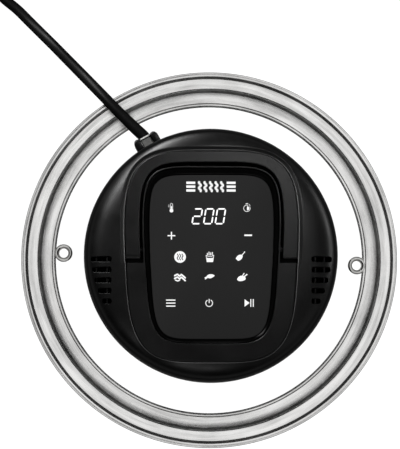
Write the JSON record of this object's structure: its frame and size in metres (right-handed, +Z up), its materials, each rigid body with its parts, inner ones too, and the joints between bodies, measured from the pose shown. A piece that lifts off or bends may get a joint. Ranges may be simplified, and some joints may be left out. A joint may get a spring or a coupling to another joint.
{
  "type": "air fryer lid",
  "caption": "Round hot-air frying lid: domed black head with touch panel, folding bail handle and mains cord, set in a glass ring with a stepped steel rim.",
  "frame": {"origin": "on the head's axis, level with the lowest edge of the heating chamber that the lid stands on", "axes": "+Z up along the fan's axis, -Y to the user's side, +X to the user's right"},
  "size_m": [0.311, 0.4366, 0.1232],
  "materials": {
    "steel": "brushed and polished stainless sheet",
    "dark_steel": "heat-dulled steel",
    "nickel": "bright nickel plate",
    "clear_glass": "clear tempered",
    "silicone": "matt silicone",
    "insulation": "glass-fibre felt",
    "satin_black": "fine-textured satin",
    "gloss_black": "glossy",
    "panel_glass": "smooth, back-printed",
    "component_grey": "moulded",
    "circuit_board": "solder mask",
    "laminate": "bare laminations",
    "copper": "enamelled wire",
    "aluminium": "pressed sheet",
    "cord_pvc": "smooth PVC"
  },
  "bodies": {
    "lid": {"steel_rim": "steel", "glass_retainer": "steel", "glass_ring": "clear_glass", "steam_vent_left": "nickel", "steam_vent_right": "nickel", "upper_gasket": "silicone", "lower_gasket": "silicone", "heating_chamber": "steel", "fan_guard": "steel", "guard_screw_1": "nickel", "guard_screw_2": "nickel", "guard_screw_3": "nickel", "heating_element": "dark_steel", "insulation_pad": "insulation", "heat_shield": "dark_steel", "thermal_cutout": "component_grey", "temperature_probe": "nickel", "base_housing": "satin_black", "clamp_screw_1": "nickel", "clamp_screw_2": "nickel", "clamp_screw_3": "nickel", "cover_screw_1": "nickel", "cover_screw_2": "nickel", "cover_screw_3": "nickel", "top_cover": "satin_black", "panel_bezel": "gloss_black", "touch_panel": "panel_glass", "led_display": "component_grey", "display_board": "circuit_board", "hinge_pin_right": "dark_steel", "hinge_pin_left": "dark_steel", "safety_switch": "component_grey", "motor_bracket": "dark_steel", "lower_bearing": "nickel", "upper_bearing": "nickel", "stator_stack": "laminate", "stator_coil": "copper", "bearing_bridge": "dark_steel", "motor_screw_left": "nickel", "motor_screw_right": "nickel", "power_board": "circuit_board", "transformer": "component_grey", "relay": "component_grey", "filter_capacitor": "component_grey", "cord_gland": "satin_black", "cord_bush": "satin_black", "mains_cord": "cord_pvc", "cord_coil": "cord_pvc", "cord_tail": "cord_pvc", "mains_plug": "cord_pvc", "plug_pin_left": "nickel", "plug_pin_right": "nickel"},
    "rotor": {"motor_shaft": "nickel", "rotor_core": "laminate", "circulation_fan": "aluminium", "cooling_fan": "component_grey", "fan_nut": "nickel"},
    "handle": {"carry_handle": "satin_black"},
    "plunger": {"switch_plunger": "component_grey"}
  },
  "joints": [
    {"name": "fan_spin", "type": "hinge", "parent": "lid", "child": "rotor", "pos_m": [0, 0, 0.05], "axis": [0, 0, 1], "continuous": true},
    {"name": "handle_lift", "type": "hinge", "parent": "lid", "child": "handle", "pos_m": [0, 0.003, 0.1172], "axis": [1, 0, 0], "range_deg": [0, 90]},
    {"name": "plunger_rise", "type": "slide", "parent": "lid", "child": "plunger", "axis": [0, 0, 1], "range_m": [0, 0.002]}
  ],
  "couplings": [
    {"joint": "plunger_rise", "follows": "handle_lift", "m_per_rad": 0.00127}
  ]
}
